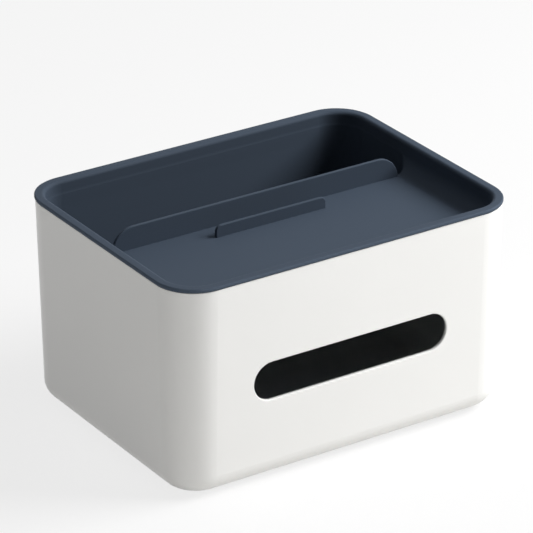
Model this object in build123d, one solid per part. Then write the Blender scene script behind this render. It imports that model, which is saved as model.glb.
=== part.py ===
"""Tissue box organizer: a box shell with a tissue slot, a lift-out organizer tray and four feet.

Millimetres, +Z up. The origin is on the standing surface, under the middle of the box.
The tissue slot faces -Y, and +X is to the right of someone facing it.
"""
import os
from math import radians, tan

from build123d import *

# Box shell
box_width = 225.0  # across the front, at the top of the walls
box_depth = 170.5  # front to back, at the top of the walls
wall_height = 125.7  # underside of the base to the top of the walls
wall_thickness = 2.2
base_thickness = 2.6
box_corner_radius = 24.0  # upright corners, at the top of the walls
bottom_radius = 12.0  # where the walls turn under into the base
wall_lip_radius = 0.2  # outer edge of the top of the walls
wall_draft = 1.14  # degrees that each wall leans in towards the base

# Tissue slot in the front wall
slot_width = 129.0
slot_height = 23.2
slot_centre_height = 61.2  # above the underside of the base
slot_edge_radius = 0.6

# Feet, each pressed into a shallow seat under the base
foot_diameter = 14.0
foot_thickness = 2.0
foot_seat_depth = 0.8
foot_seat_clearance = 0.15  # all round the foot
foot_edge_radius = 0.5
foot_inset = 12.0  # foot centre from the edge of the base's flat

# Organizer tray: rim, shallow front tray and deep rear compartment in one moulding
rim_thickness = 2.6
rim_overhang = 0.5  # the rim stands out past the box wall by this much
rim_width = 6.2  # from the rim's outer edge to the tray's inner wall
rim_inner_radius = 2.2
rim_outer_radius = 0.8
rim_lower_radius = 1.2
tray_wall = 2.0
tray_fit_clearance = 0.4  # locating rib to the inside of the box wall
locating_rib_height = 5.0  # below the rim, inside the box wall
front_tray_depth = 16.7  # below the top of the rim
front_tray_length = 89.8  # front inner wall to the divider
front_floor_radius = 10.0
compartment_depth = 78.0  # below the top of the rim
compartment_step = 0.15  # its walls stand in from the tray's upper walls
compartment_corner_radius = 9.0  # the two corners beside the divider
compartment_floor_radius = 7.5
compartment_draft = 1.0  # degrees that its walls lean in below the front tray's floor

# Divider between the front tray and the rear compartment
divider_thickness = 2.0
divider_height = 13.7  # above the front tray's floor
divider_end_gap = 10.2  # each end from the tray's side wall
divider_corner_radius = 14.0
divider_edge_radius = 0.6

# Phone rest, a low rail in front of the divider
rest_length = 74.0
rest_height = 7.2
rest_thickness = 2.0
rest_corner_radius = 3.5
rest_edge_radius = 0.6
phone_gap = 11.5  # from the rest to the divider

# Overruns and limits
cut_overrun = 5.0
fillet_room_share = 0.92  # the most of its room that a rounding takes
root_share = 0.75  # how much of the tray's floor the divider and the rest reach into

# Heights and outlines that follow from those sizes
foot_stand = foot_thickness - foot_seat_depth
wall_top = foot_stand + wall_height
rim_top = wall_top + rim_thickness
front_floor = rim_top - front_tray_depth
compartment_floor = rim_top - compartment_depth
slot_centre = foot_stand + slot_centre_height
box_lean = wall_height * tan(radians(wall_draft))
inner_half_width = box_width / 2 + rim_overhang - rim_width
inner_half_depth = box_depth / 2 + rim_overhang - rim_width
inner_corner_radius = box_corner_radius + rim_overhang - rim_width
divider_front = front_tray_length - inner_half_depth
divider_back = divider_front + divider_thickness
divider_half_length = inner_half_width - divider_end_gap
rest_back = divider_front - phone_gap
compartment_lean = (front_floor - compartment_floor) * tan(radians(compartment_draft))
tub_top = wall_top - locating_rib_height / 2  # the tubs' walls end inside the locating rib

# Roundings, each held to the room that its corners and walls leave
bottom_round = min(bottom_radius, fillet_room_share * (box_corner_radius - box_lean))
front_floor_round = min(
    front_floor_radius, fillet_room_share * inner_corner_radius, fillet_room_share * (tub_top - front_floor)
)
compartment_floor_round = min(
    compartment_floor_radius, fillet_room_share * (compartment_corner_radius - compartment_lean)
)


def rounded_plate(half_width, half_depth, radius, height):
    """A flat rounded rectangle, centred on the Z axis."""
    return Pos(0, 0, height) * RectangleRounded(2 * half_width, 2 * half_depth, radius)


def box_top_plate(inset):
    """The box's outline at the top of its walls, a given distance inside their outer face."""
    return rounded_plate(box_width / 2 - inset, box_depth / 2 - inset, box_corner_radius - inset, wall_top)


def lowest_edges(solid):
    """The edges round the underside of a solid."""
    return solid.faces().sort_by(Axis.Z)[0].edges()


def round_underside(solid, radius):
    """Round the lower edges of a tub."""
    return fillet(lowest_edges(solid), radius)


def box_block(inset, bottom):
    """The leaning box form, a given distance inside its outer walls, down to a given height."""
    block = extrude(box_top_plate(inset), amount=wall_top - bottom, dir=(0, 0, -1), taper=wall_draft)
    return round_underside(block, bottom_round - inset)


def foot_places():
    """The four foot centres, set in from the corners of the base's flat."""
    x = box_width / 2 - box_lean - bottom_round - foot_inset
    y = box_depth / 2 - box_lean - bottom_round - foot_inset
    return [(-x, -y), (x, -y), (-x, y), (x, y)]


def slot_cutter():
    """The tissue slot's round-ended form, through the front wall."""
    reach = box_lean + wall_thickness + cut_overrun
    outline = Plane.XZ * SlotOverall(slot_width, slot_height)
    cutter = extrude(outline, amount=reach + cut_overrun)
    return Pos(0, reach - box_depth / 2, slot_centre) * cutter


def slot_edges(shell):
    """The inner and outer rims of the tissue slot."""
    front = [edge for edge in shell.edges() if edge.center().Y < -box_depth / 2 + box_lean + wall_thickness]
    return [
        edge
        for edge in front
        if abs(edge.center().X) <= slot_width / 2
        and abs(edge.center().Z - slot_centre) <= slot_height / 2 + slot_edge_radius
        and edge.bounding_box().size.Y < wall_thickness / 2
    ]


def make_body_shell():
    """The box: leaning walls, rounded base, tissue slot and foot seats."""
    shell = box_block(0, foot_stand) - box_block(wall_thickness, foot_stand + base_thickness)
    lip = shell.faces().sort_by(Axis.Z)[-1].outer_wire().edges()
    shell = fillet(lip, wall_lip_radius)
    shell -= slot_cutter()
    shell = fillet(slot_edges(shell), slot_edge_radius)
    seat_radius = foot_diameter / 2 + foot_seat_clearance
    for x, y in foot_places():
        shell -= Pos(x, y, 0) * extrude(Circle(seat_radius), amount=foot_thickness)
    return shell


def make_foot(x, y):
    """One round foot, from the standing surface up into its seat."""
    foot = extrude(Circle(foot_diameter / 2), amount=foot_thickness)
    return Pos(x, y, 0) * fillet(lowest_edges(foot), foot_edge_radius)


def front_tub(offset):
    """The front tray's hollow, or its outside where an offset of the wall is given."""
    outline = rounded_plate(
        inner_half_width + offset, inner_half_depth + offset, inner_corner_radius + offset, front_floor - offset
    )
    tub = extrude(outline, amount=tub_top - front_floor + offset)
    return round_underside(tub, front_floor_round + offset)


def compartment_outline(offset):
    """The rear compartment in plan: tight corners by the divider, wide corners at the back."""
    half_width = inner_half_width - compartment_step + offset
    back = inner_half_depth - compartment_step + offset
    front = divider_back - offset
    outline = Pos(0, (back + front) / 2) * Rectangle(2 * half_width, back - front)
    outline = fillet(outline.vertices().sort_by(Axis.Y)[:2], compartment_corner_radius + offset)
    return fillet(outline.vertices().sort_by(Axis.Y)[-2:], inner_corner_radius - compartment_step + offset)


def compartment_tub(offset):
    """The rear compartment's hollow, or its outside where an offset of the wall is given."""
    outline = Pos(0, 0, front_floor) * compartment_outline(offset)
    depth = front_floor - compartment_floor + offset
    lower = extrude(outline, amount=depth, dir=(0, 0, -1), taper=compartment_draft)
    lower = round_underside(lower, compartment_floor_round + offset)
    return lower + extrude(outline, amount=tub_top - front_floor)


def upright_tab(half_length, height, thickness, corner_radius, edge_radius, back):
    """A rib standing on the front tray's floor, with round upper corners and soft upper edges."""
    root = root_share * tray_wall
    outline = Plane.XZ * (Pos(0, (height - root) / 2) * Rectangle(2 * half_length, height + root))
    tab = extrude(outline, amount=thickness)
    upper = tab.edges().filter_by(Axis.Y).sort_by(Axis.Z)[-2:]
    tab = fillet(upper, min(corner_radius, fillet_room_share * (height + root)))
    brow = [edge for edge in tab.edges().filter_by(Axis.Y, reverse=True) if edge.center().Z > 0]
    tab = fillet(brow, min(edge_radius, fillet_room_share * thickness / 2))
    return Pos(0, back, front_floor) * tab


def make_divider():
    """The wall between the front tray and the rear compartment."""
    return upright_tab(
        divider_half_length, divider_height, divider_thickness, divider_corner_radius, divider_edge_radius, divider_back
    )


def make_phone_rest():
    """The low rail that a phone's lower edge stands behind."""
    return upright_tab(
        rest_length / 2, rest_height, rest_thickness, rest_corner_radius, rest_edge_radius, rest_back
    )


def make_rim_ring():
    """The flat rim that lies on the box walls, and the locating rib inside them."""
    rim = extrude(box_top_plate(-rim_overhang), amount=rim_thickness)
    rim = fillet(rim.faces().sort_by(Axis.Z)[-1].edges(), rim_outer_radius)
    rim = fillet(lowest_edges(rim), rim_lower_radius)
    rib_outline = box_top_plate(wall_thickness + tray_fit_clearance)
    rib = extrude(rib_outline, amount=locating_rib_height, dir=(0, 0, -1), taper=wall_draft)
    mouth = rounded_plate(inner_half_width, inner_half_depth, inner_corner_radius, wall_top)
    ring = rim + rib - extrude(mouth, amount=locating_rib_height + cut_overrun, both=True)
    return fillet(ring.faces().sort_by(Axis.Z)[-1].inner_wires()[0].edges(), rim_inner_radius)


def make_organizer_tray():
    """The tray: rim, front tray, rear compartment, divider and phone rest in one moulding."""
    hull = front_tub(tray_wall) + compartment_tub(tray_wall)
    tub = hull - front_tub(0) - compartment_tub(0)
    return tub + make_rim_ring() + make_divider() + make_phone_rest()


def main():
    """Write one file for each piece."""
    os.makedirs("parts", exist_ok=True)
    export_step(make_body_shell(), "parts/body_shell.step")
    export_step(make_organizer_tray(), "parts/organizer_tray.step")
    foot_names = ["foot_front_left", "foot_front_right", "foot_back_left", "foot_back_right"]
    for name, (x, y) in zip(foot_names, foot_places()):
        export_step(make_foot(x, y), f"parts/{name}.step")


main()
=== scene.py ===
"""Looks of a tissue box organizer: moulded finishes, grooved rubber feet, studio stage and camera.

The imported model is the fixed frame: every piece here is in metres and in its axes. The box stands on
Z = 0, its tissue slot faces -Y, and +X is to the right of someone facing the slot.
"""

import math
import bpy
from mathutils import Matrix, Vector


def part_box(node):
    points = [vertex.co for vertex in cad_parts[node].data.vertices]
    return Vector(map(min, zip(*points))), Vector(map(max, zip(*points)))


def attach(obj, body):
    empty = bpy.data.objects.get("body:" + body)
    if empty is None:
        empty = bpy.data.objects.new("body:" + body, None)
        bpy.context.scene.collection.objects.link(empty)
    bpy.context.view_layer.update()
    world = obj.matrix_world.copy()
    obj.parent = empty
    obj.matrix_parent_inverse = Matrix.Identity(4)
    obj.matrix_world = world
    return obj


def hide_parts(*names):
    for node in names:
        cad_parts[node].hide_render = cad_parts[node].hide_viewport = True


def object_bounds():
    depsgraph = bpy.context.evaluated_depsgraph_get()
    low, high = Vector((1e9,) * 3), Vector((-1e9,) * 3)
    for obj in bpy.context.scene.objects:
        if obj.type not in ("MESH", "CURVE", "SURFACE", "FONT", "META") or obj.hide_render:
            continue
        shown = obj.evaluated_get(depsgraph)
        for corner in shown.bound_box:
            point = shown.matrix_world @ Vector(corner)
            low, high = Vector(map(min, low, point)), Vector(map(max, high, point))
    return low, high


bl_info = {
    "name": "Tissue Box Organizer",
    "version": (1, 0, 0),
    "blender": (4, 5, 0),
    "location": "3D View > Sidebar > Organizer",
    "description": "Gives a tissue box organizer its finishes, feet, stage and camera",
    "category": "Object",
}

import bmesh
import bpy
from mathutils import Vector

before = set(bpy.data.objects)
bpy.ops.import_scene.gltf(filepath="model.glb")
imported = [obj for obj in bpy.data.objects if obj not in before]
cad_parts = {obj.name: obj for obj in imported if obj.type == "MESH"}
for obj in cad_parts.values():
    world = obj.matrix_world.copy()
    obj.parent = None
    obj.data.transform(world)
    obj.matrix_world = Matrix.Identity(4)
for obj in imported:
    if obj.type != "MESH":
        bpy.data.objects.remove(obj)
CAD_LOW, CAD_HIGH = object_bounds()

BOX_NODE = "body_shell"
TRAY_NODE = "organizer_tray"
FOOT_NODES = sorted(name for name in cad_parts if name.startswith("foot_"))
BOX_BODY = "box"
STAGE_MIDDLE = (CAD_LOW + CAD_HIGH) / 2
LAMPS = ("key", "top", "front", "left", "back")

WELD_DISTANCE = 1e-7  # points of a turned mesh this near each other, in metres, become one
SHARP_ANGLE = math.radians(40)  # an edge that turns by more than this is shaded sharp

# Detail and roughness of the noise behind each trait of a moulded surface
SHADE_NOISE = (2.0, 0.5)
GLOSS_NOISE = (3.0, 0.6)
WAVE_NOISE = (1.0, 0.4)
GRAIN_NOISE = (2.0, 0.6)
GLOSS_PATCH = 0.5  # size of a patch of gloss, as a share of a patch of shade

# Sockets of a Mix node that is set to colours
MIX_FACTOR = 0
MIX_FIRST = 6
MIX_SECOND = 7
MIX_RESULT = 2

OPAQUE = 1.0
WHITE = (1.0, 1.0, 1.0, OPAQUE)
SEEN_ROOM_STRENGTH = 1.0
FLOOR_ROUGHNESS = 1.0
FLOOR_SPECULAR = 0.0


# Shader building

def new_material(name):
    """A node material that holds only a main shader and the output it is linked to."""
    material = bpy.data.materials.new(name)
    material.use_nodes = True
    tree = material.node_tree
    tree.nodes.clear()
    output = tree.nodes.new("ShaderNodeOutputMaterial")
    shader = tree.nodes.new("ShaderNodeBsdfPrincipled")
    tree.links.new(shader.outputs["BSDF"], output.inputs["Surface"])
    return material, tree, shader


def object_coordinates(tree):
    """The place of a shaded point in the piece's own axes, in metres."""
    return tree.nodes.new("ShaderNodeTexCoord").outputs["Object"]


def noise(tree, place, cell, detail, roughness):
    """Soft cloudy noise whose blotches are about one cell across."""
    node = tree.nodes.new("ShaderNodeTexNoise")
    node.inputs["Scale"].default_value = 1 / cell
    node.inputs["Detail"].default_value = detail
    node.inputs["Roughness"].default_value = roughness
    tree.links.new(place, node.inputs["Vector"])
    return node.outputs["Fac"]


def map_range(tree, value, low, high):
    """A noise value spread between two limits."""
    node = tree.nodes.new("ShaderNodeMapRange")
    node.inputs["To Min"].default_value = low
    node.inputs["To Max"].default_value = high
    tree.links.new(value, node.inputs["Value"])
    return node.outputs["Result"]


def mix_colour(tree, factor, first, second):
    """The first colour where the factor is zero, the second where it is one."""
    node = tree.nodes.new("ShaderNodeMix")
    node.data_type = "RGBA"
    node.inputs[MIX_FIRST].default_value = first
    node.inputs[MIX_SECOND].default_value = second
    tree.links.new(factor, node.inputs[MIX_FACTOR])
    return node.outputs[MIX_RESULT]


def bump(tree, height, depth, below=None):
    """A relief of a given depth in metres, laid over an earlier one where that is given."""
    node = tree.nodes.new("ShaderNodeBump")
    node.inputs["Distance"].default_value = depth
    tree.links.new(height, node.inputs["Height"])
    if below is not None:
        tree.links.new(below, node.inputs["Normal"])
    return node.outputs["Normal"]


def shaded(colour, share):
    """A colour made lighter or darker by a share, with full alpha."""
    return (*(channel * share for channel in colour), OPAQUE)


def moulded_surface(name, finish):
    """A moulded surface: fine tool-mark grain, slow waviness and slight drifts of shade and gloss."""
    material, tree, shader = new_material(name)
    place = object_coordinates(tree)

    drift = noise(tree, place, finish.drift_size, *SHADE_NOISE)
    darker = shaded(finish.colour, 1 - finish.shade_drift)
    lighter = shaded(finish.colour, 1 + finish.shade_drift)
    tree.links.new(mix_colour(tree, drift, darker, lighter), shader.inputs["Base Color"])

    gloss = noise(tree, place, finish.drift_size * GLOSS_PATCH, *GLOSS_NOISE)
    smoothest = finish.roughness - finish.gloss_drift
    roughest = finish.roughness + finish.gloss_drift
    tree.links.new(map_range(tree, gloss, smoothest, roughest), shader.inputs["Roughness"])

    wave = bump(tree, noise(tree, place, finish.wave_size, *WAVE_NOISE), finish.wave_depth)
    grain = bump(tree, noise(tree, place, finish.grain_size, *GRAIN_NOISE), finish.grain_depth, wave)
    tree.links.new(grain, shader.inputs["Normal"])

    shader.inputs["IOR"].default_value = finish.ior
    shader.inputs["Specular IOR Level"].default_value = finish.specular
    return material


def dress(node, material):
    """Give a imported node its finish."""
    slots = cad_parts[node].data.materials
    slots.clear()
    slots.append(material)


def seen_rays(tree):
    """One for rays that a viewer sees, straight or through a mirror or glass, and zero for the rest."""
    path = tree.nodes.new("ShaderNodeLightPath")
    total = path.outputs["Is Camera Ray"]
    for name in ("Is Glossy Ray", "Is Transmission Ray"):
        node = tree.nodes.new("ShaderNodeMath")
        node.operation = "MAXIMUM"
        tree.links.new(total, node.inputs[0])
        tree.links.new(path.outputs[name], node.inputs[1])
        total = node.outputs["Value"]
    return total


# What a user may change

class MouldedFinish:
    """Traits that every moulded plastic or rubber has, beside its own colour and roughness."""

    ior: bpy.props.FloatProperty(
        name="IOR",
        description="Index of refraction of the moulding",
        default=1.46,
    )
    specular: bpy.props.FloatProperty(
        name="Specular",
        description="How much of the surface's mirror share is kept",
        subtype="FACTOR",
        default=0.5,
    )
    shade_drift: bpy.props.FloatProperty(
        name="Shade drift",
        description="How far the shade wanders either way",
        subtype="FACTOR",
        default=0.015,
    )
    gloss_drift: bpy.props.FloatProperty(
        name="Gloss drift",
        description="How far the roughness wanders either way",
        subtype="FACTOR",
        default=0.04,
    )
    drift_size: bpy.props.FloatProperty(
        name="Drift size",
        description="Size of the patches of shade",
        unit="LENGTH",
        default=0.06,
    )
    wave_size: bpy.props.FloatProperty(
        name="Wave size",
        description="Spacing of the slow waviness of a moulded wall",
        unit="LENGTH",
        default=0.05,
    )
    wave_depth: bpy.props.FloatProperty(
        name="Wave depth",
        description="Depth of that waviness",
        unit="LENGTH",
        precision=6,
        default=0.0001,
    )
    grain_size: bpy.props.FloatProperty(
        name="Grain size",
        description="Spacing of the fine grain",
        unit="LENGTH",
        precision=6,
        default=0.0006,
    )
    grain_depth: bpy.props.FloatProperty(
        name="Grain depth",
        description="Depth of the fine grain",
        unit="LENGTH",
        precision=6,
        default=0.00001,
    )


class BoxFinish(MouldedFinish, bpy.types.PropertyGroup):
    """Satin white plastic of the box shell."""

    colour: bpy.props.FloatVectorProperty(
        name="Colour",
        description="Colour of the box",
        subtype="COLOR",
        min=0,
        max=1,
        default=(0.85, 0.85, 0.84),
    )
    roughness: bpy.props.FloatProperty(
        name="Roughness",
        description="How matt the box is",
        subtype="FACTOR",
        min=0,
        max=1,
        default=0.4,
    )


class TrayFinish(MouldedFinish, bpy.types.PropertyGroup):
    """Matt slate navy plastic of the tray."""

    colour: bpy.props.FloatVectorProperty(
        name="Colour",
        description="Colour of the tray",
        subtype="COLOR",
        min=0,
        max=1,
        default=(0.067, 0.088, 0.121),
    )
    roughness: bpy.props.FloatProperty(
        name="Roughness",
        description="How matt the tray is",
        subtype="FACTOR",
        min=0,
        max=1,
        default=0.6,
    )
    specular: bpy.props.FloatProperty(
        name="Specular",
        description="How much of the tray's mirror share is kept",
        subtype="FACTOR",
        default=0.06,
    )


class FootFinish(MouldedFinish, bpy.types.PropertyGroup):
    """Grooved grey rubber of the feet."""

    colour: bpy.props.FloatVectorProperty(
        name="Colour",
        description="Colour of the feet",
        subtype="COLOR",
        min=0,
        max=1,
        default=(0.2, 0.2, 0.2),
    )
    roughness: bpy.props.FloatProperty(
        name="Roughness",
        description="How matt the rubber is",
        subtype="FACTOR",
        min=0,
        max=1,
        default=0.8,
    )
    drift_size: bpy.props.FloatProperty(
        name="Drift size",
        description="Size of the patches of shade",
        unit="LENGTH",
        default=0.004,
    )
    groove_count: bpy.props.IntProperty(
        name="Grooves",
        description="Round grip grooves in each underside",
        default=2,
    )
    groove_radius: bpy.props.FloatProperty(
        name="Groove radius",
        description="Radius of a groove's section",
        unit="LENGTH",
        precision=6,
        default=0.0004,
    )
    edge_radius: bpy.props.FloatProperty(
        name="Edge radius",
        description="Rounding of a foot's edges",
        unit="LENGTH",
        precision=6,
        default=0.0005,
    )
    arc_steps: bpy.props.IntProperty(
        name="Arc steps",
        description="Steps in each rounding",
        default=6,
    )
    turn_steps: bpy.props.IntProperty(
        name="Turn steps",
        description="Steps round each foot",
        default=72,
    )


class StageSettings(bpy.types.PropertyGroup):
    """Floor, lamps and camera."""

    floor_size: bpy.props.FloatProperty(
        name="Floor",
        description="Side of the floor",
        unit="LENGTH",
        default=12.0,
    )
    floor_gap: bpy.props.FloatProperty(
        name="Floor gap",
        description="How far the floor lies under the feet",
        unit="LENGTH",
        precision=6,
        default=0.00005,
    )
    floor_colour: bpy.props.FloatVectorProperty(
        name="Floor colour",
        description="Colour of the floor as a viewer sees it",
        subtype="COLOR",
        default=(0.95, 0.95, 0.95),
    )
    bounce_colour: bpy.props.FloatVectorProperty(
        name="Bounce colour",
        description="Colour of the light that the floor throws back",
        subtype="COLOR",
        default=(0.5, 0.488, 0.46),
    )
    floor_paleness: bpy.props.FloatProperty(
        name="Floor paleness",
        description="How far the seen floor is lifted to white",
        subtype="FACTOR",
        default=0.76,
    )
    room_light: bpy.props.FloatProperty(
        name="Room light",
        description="Strength of the even room light",
        default=0.06,
    )
    key_place: bpy.props.FloatVectorProperty(
        name="Key place",
        description="Where the right softbox hangs",
        subtype="TRANSLATION",
        unit="LENGTH",
        default=(1.08, -0.535, 1.075),
    )
    key_size: bpy.props.FloatVectorProperty(
        name="Key size",
        description="Sides of the right softbox",
        unit="LENGTH",
        size=2,
        default=(0.9, 0.9),
    )
    key_power: bpy.props.FloatProperty(
        name="Key",
        description="Power of the right softbox",
        unit="POWER",
        default=29.0,
    )
    top_place: bpy.props.FloatVectorProperty(
        name="Top place",
        description="Where the overhead softbox hangs",
        subtype="TRANSLATION",
        unit="LENGTH",
        default=(-0.1, 0.2, 1.8),
    )
    top_size: bpy.props.FloatVectorProperty(
        name="Top size",
        description="Sides of the overhead softbox",
        unit="LENGTH",
        size=2,
        default=(1.2, 1.2),
    )
    top_power: bpy.props.FloatProperty(
        name="Top",
        description="Power of the overhead softbox",
        unit="POWER",
        default=2.5,
    )
    front_place: bpy.props.FloatVectorProperty(
        name="Front place",
        description="Where the low front strip stands",
        subtype="TRANSLATION",
        unit="LENGTH",
        default=(0.3, -1.3, 0.08),
    )
    front_size: bpy.props.FloatVectorProperty(
        name="Front size",
        description="Sides of the low front strip",
        unit="LENGTH",
        size=2,
        default=(1.6, 0.1),
    )
    front_power: bpy.props.FloatProperty(
        name="Front",
        description="Power of the low front strip",
        unit="POWER",
        default=7.4,
    )
    left_place: bpy.props.FloatVectorProperty(
        name="Left place",
        description="Where the low left strip stands",
        subtype="TRANSLATION",
        unit="LENGTH",
        default=(-1.2, -0.05, 0.08),
    )
    left_size: bpy.props.FloatVectorProperty(
        name="Left size",
        description="Sides of the low left strip",
        unit="LENGTH",
        size=2,
        default=(1.6, 0.1),
    )
    left_power: bpy.props.FloatProperty(
        name="Left",
        description="Power of the low left strip",
        unit="POWER",
        default=3.4,
    )
    back_place: bpy.props.FloatVectorProperty(
        name="Back place",
        description="Where the low back strip stands",
        subtype="TRANSLATION",
        unit="LENGTH",
        default=(0.0, 1.3, 0.08),
    )
    back_size: bpy.props.FloatVectorProperty(
        name="Back size",
        description="Sides of the low back strip",
        unit="LENGTH",
        size=2,
        default=(1.6, 0.1),
    )
    back_power: bpy.props.FloatProperty(
        name="Back",
        description="Power of the low back strip",
        unit="POWER",
        default=4.0,
    )
    camera_turn: bpy.props.FloatProperty(
        name="Camera turn",
        description="How far the view is turned to the right from straight along +Y",
        subtype="ANGLE",
        default=math.radians(33.371),
    )
    camera_tilt: bpy.props.FloatProperty(
        name="Camera tilt",
        description="How far the camera looks down",
        subtype="ANGLE",
        default=math.radians(25.41),
    )
    camera_place: bpy.props.FloatVectorProperty(
        name="Camera place",
        description="Where the camera stands",
        subtype="TRANSLATION",
        unit="LENGTH",
        default=(-1.0340, -1.5678, 0.97645),
    )
    camera_lens: bpy.props.FloatProperty(
        name="Lens",
        description="Focal length, in millimetres",
        default=247.26,
    )


class OrganizerSettings(bpy.types.PropertyGroup):
    """All that the organizer's operators read."""

    box: bpy.props.PointerProperty(
        name="Box", description="Finish of the box shell", type=BoxFinish
    )
    tray: bpy.props.PointerProperty(
        name="Tray", description="Finish of the organizer tray", type=TrayFinish
    )
    foot: bpy.props.PointerProperty(
        name="Feet", description="Form and finish of the feet", type=FootFinish
    )
    stage: bpy.props.PointerProperty(
        name="Stage", description="Floor, lamps and camera", type=StageSettings
    )


# Box and tray

class ORGANIZER_OT_box(bpy.types.Operator):
    """Give the box shell its satin white finish"""

    bl_idname = "organizer.box"
    bl_label = "Box shell"

    def execute(self, context):
        dress(BOX_NODE, moulded_surface("satin_white_plastic", context.scene.organizer.box))
        return {"FINISHED"}


class ORGANIZER_OT_tray(bpy.types.Operator):
    """Give the organizer tray its matt navy finish"""

    bl_idname = "organizer.tray"
    bl_label = "Organizer tray"

    def execute(self, context):
        dress(TRAY_NODE, moulded_surface("matt_navy_plastic", context.scene.organizer.tray))
        return {"FINISHED"}


# Feet

def arc(centre, radius, start, end, steps):
    """Points along an arc in a half section, each a distance from the axis and a height."""
    distance, height = centre
    points = []
    for step in range(steps + 1):
        angle = math.radians(start + (end - start) * step / steps)
        points.append((distance + radius * math.cos(angle), height + radius * math.sin(angle)))
    return points


def foot_section(foot, radius, thickness):
    """Half section of a foot: grooved underside, round edges and a flat top."""
    steps = foot.arc_steps
    edge = foot.edge_radius
    pitch = (radius - edge) / (foot.groove_count + 1)
    section = [(0, 0)]
    for groove in range(foot.groove_count):
        section += arc(((groove + 1) * pitch, 0), foot.groove_radius, 180, 0, steps)
    section += arc((radius - edge, edge), edge, -90, 0, steps)
    section += arc((radius - edge, thickness - edge), edge, 0, 90, steps)
    section.append((0, thickness))
    return section


def turned_mesh(name, section, steps):
    """A closed mesh turned from a half section about the Z axis."""
    shape = bmesh.new()
    line = [shape.verts.new((distance, 0, height)) for distance, height in section]
    edges = [shape.edges.new(pair) for pair in zip(line, line[1:])]
    bmesh.ops.spin(
        shape, geom=line + edges, axis=(0, 0, 1), cent=(0, 0, 0), angle=2 * math.pi, steps=steps
    )
    bmesh.ops.remove_doubles(shape, verts=shape.verts, dist=WELD_DISTANCE)
    bmesh.ops.recalc_face_normals(shape, faces=shape.faces)
    mesh = bpy.data.meshes.new(name)
    shape.to_mesh(mesh)
    shape.free()
    mesh.shade_smooth()
    mesh.set_sharp_from_angle(angle=SHARP_ANGLE)
    return mesh


class ORGANIZER_OT_feet(bpy.types.Operator):
    """Turn the four grooved rubber feet in the places of the plain ones"""

    bl_idname = "organizer.feet"
    bl_label = "Feet"

    def execute(self, context):
        if not FOOT_NODES:
            raise RuntimeError("the packed model has no feet")
        foot = context.scene.organizer.foot
        rubber = moulded_surface("grey_rubber", foot)
        for node in FOOT_NODES:
            low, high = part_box(node)
            section = foot_section(foot, (high.x - low.x) / 2, high.z - low.z)
            mesh = turned_mesh(f"rubber_{node}", section, foot.turn_steps)
            mesh.materials.append(rubber)
            piece = bpy.data.objects.new(f"rubber_{node}", mesh)
            piece.location = ((low.x + high.x) / 2, (low.y + high.y) / 2, low.z)
            context.scene.collection.objects.link(piece)
            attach(piece, BOX_BODY)
            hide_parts(node)
        return {"FINISHED"}


# Stage

def area_lamp(name, place, size, power):
    """A soft lamp that faces the middle of the object and is not itself seen."""
    data = bpy.data.lights.new(name, "AREA")
    data.shape = "RECTANGLE"
    data.size, data.size_y = size
    data.energy = power
    lamp = bpy.data.objects.new(name, data)
    lamp.location = place
    lamp.rotation_euler = (STAGE_MIDDLE - Vector(place)).to_track_quat("-Z", "Y").to_euler()
    lamp.visible_camera = False
    bpy.context.scene.collection.objects.link(lamp)


def floor_material(stage):
    """Pale matt floor that a viewer sees lifted to white, with the object's shadow kept."""
    material, tree, shader = new_material("pale_floor")
    seen = seen_rays(tree)
    bounced = (*stage.bounce_colour, OPAQUE)
    viewed = (*stage.floor_colour, OPAQUE)
    tree.links.new(mix_colour(tree, seen, bounced, viewed), shader.inputs["Base Color"])
    shader.inputs["Roughness"].default_value = FLOOR_ROUGHNESS
    shader.inputs["Specular IOR Level"].default_value = FLOOR_SPECULAR

    glow = tree.nodes.new("ShaderNodeEmission")
    lift = tree.nodes.new("ShaderNodeMath")
    lift.operation = "MULTIPLY"
    lift.inputs[1].default_value = stage.floor_paleness
    tree.links.new(seen, lift.inputs[0])

    mix = tree.nodes.new("ShaderNodeMixShader")
    tree.links.new(lift.outputs["Value"], mix.inputs["Fac"])
    tree.links.new(shader.outputs["BSDF"], mix.inputs[1])
    tree.links.new(glow.outputs["Emission"], mix.inputs[2])
    output = next(node for node in tree.nodes if node.type == "OUTPUT_MATERIAL")
    tree.links.new(mix.outputs["Shader"], output.inputs["Surface"])
    return material


def lay_floor(stage):
    """A square floor under the object."""
    half = stage.floor_size / 2
    mesh = bpy.data.meshes.new("floor")
    corners = [(-half, -half, 0), (half, -half, 0), (half, half, 0), (-half, half, 0)]
    mesh.from_pydata(corners, [], [(0, 1, 2, 3)])
    mesh.materials.append(floor_material(stage))
    floor = bpy.data.objects.new("floor", mesh)
    floor.location.z = -stage.floor_gap
    bpy.context.scene.collection.objects.link(floor)


def studio_world(stage):
    """Even room light that a viewer sees as white."""
    world = bpy.data.worlds.new("room")
    world.use_nodes = True
    tree = world.node_tree
    tree.nodes.clear()
    output = tree.nodes.new("ShaderNodeOutputWorld")
    mix = tree.nodes.new("ShaderNodeMixShader")
    for strength, socket in ((stage.room_light, mix.inputs[1]), (SEEN_ROOM_STRENGTH, mix.inputs[2])):
        background = tree.nodes.new("ShaderNodeBackground")
        background.inputs["Color"].default_value = WHITE
        background.inputs["Strength"].default_value = strength
        tree.links.new(background.outputs["Background"], socket)
    tree.links.new(seen_rays(tree), mix.inputs["Fac"])
    tree.links.new(mix.outputs["Shader"], output.inputs["Surface"])
    return world


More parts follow.
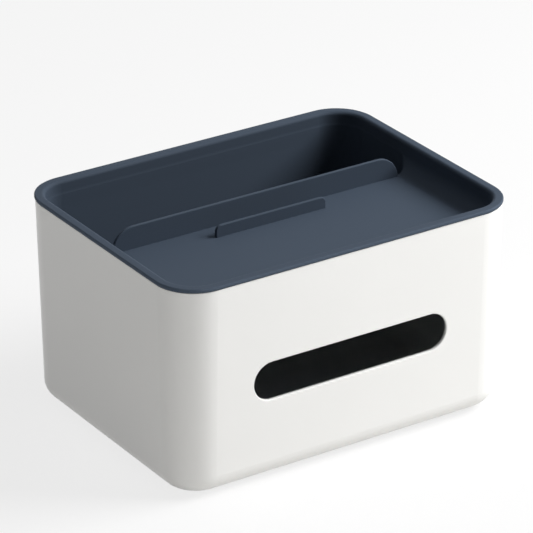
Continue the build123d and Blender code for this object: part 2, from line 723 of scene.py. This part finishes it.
def set_camera(stage):
    """The camera, at the height and angle from which the front, the left side and the tray are seen."""
    data = bpy.data.cameras.new("camera")
    data.lens = stage.camera_lens
    camera = bpy.data.objects.new("camera", data)
    camera.location = stage.camera_place
    camera.rotation_euler = (math.pi / 2 - stage.camera_tilt, 0, -stage.camera_turn)
    bpy.context.scene.collection.objects.link(camera)
    bpy.context.scene.camera = camera


class ORGANIZER_OT_stage(bpy.types.Operator):
    """Lay the floor, hang the lamps and set up the camera"""

    bl_idname = "organizer.stage"
    bl_label = "Stage"

    def execute(self, context):
        stage = context.scene.organizer.stage
        lay_floor(stage)
        context.scene.world = studio_world(stage)
        for lamp in LAMPS:
            place, size, power = (getattr(stage, f"{lamp}_{trait}") for trait in ("place", "size", "power"))
            area_lamp(lamp, place, size, power)
        set_camera(stage)
        context.scene.view_settings.view_transform = "Standard"
        return {"FINISHED"}


# Panel and registration

class ORGANIZER_PT_panel(bpy.types.Panel):
    """The organizer's operators, in the sidebar"""

    bl_label = "Organizer"
    bl_space_type = "VIEW_3D"
    bl_region_type = "UI"
    bl_category = "Organizer"

    def draw(self, context):
        for operator in OPERATORS:
            self.layout.operator(operator.bl_idname)


OPERATORS = (ORGANIZER_OT_box, ORGANIZER_OT_tray, ORGANIZER_OT_feet, ORGANIZER_OT_stage)
SETTINGS = (BoxFinish, TrayFinish, FootFinish, StageSettings, OrganizerSettings)
CLASSES = (*SETTINGS, *OPERATORS, ORGANIZER_PT_panel)


def register():
    """Add the classes, and the settings to the scene."""
    for cls in CLASSES:
        bpy.utils.register_class(cls)
    bpy.types.Scene.organizer = bpy.props.PointerProperty(type=OrganizerSettings)


def unregister():
    """Take the settings and the classes away again."""
    del bpy.types.Scene.organizer
    for cls in reversed(CLASSES):
        bpy.utils.unregister_class(cls)


def main():
    """Build everything in order."""
    register()
    bpy.ops.organizer.box()
    bpy.ops.organizer.tray()
    bpy.ops.organizer.feet()
    bpy.ops.organizer.stage()


if __name__ == "__main__":
    main()
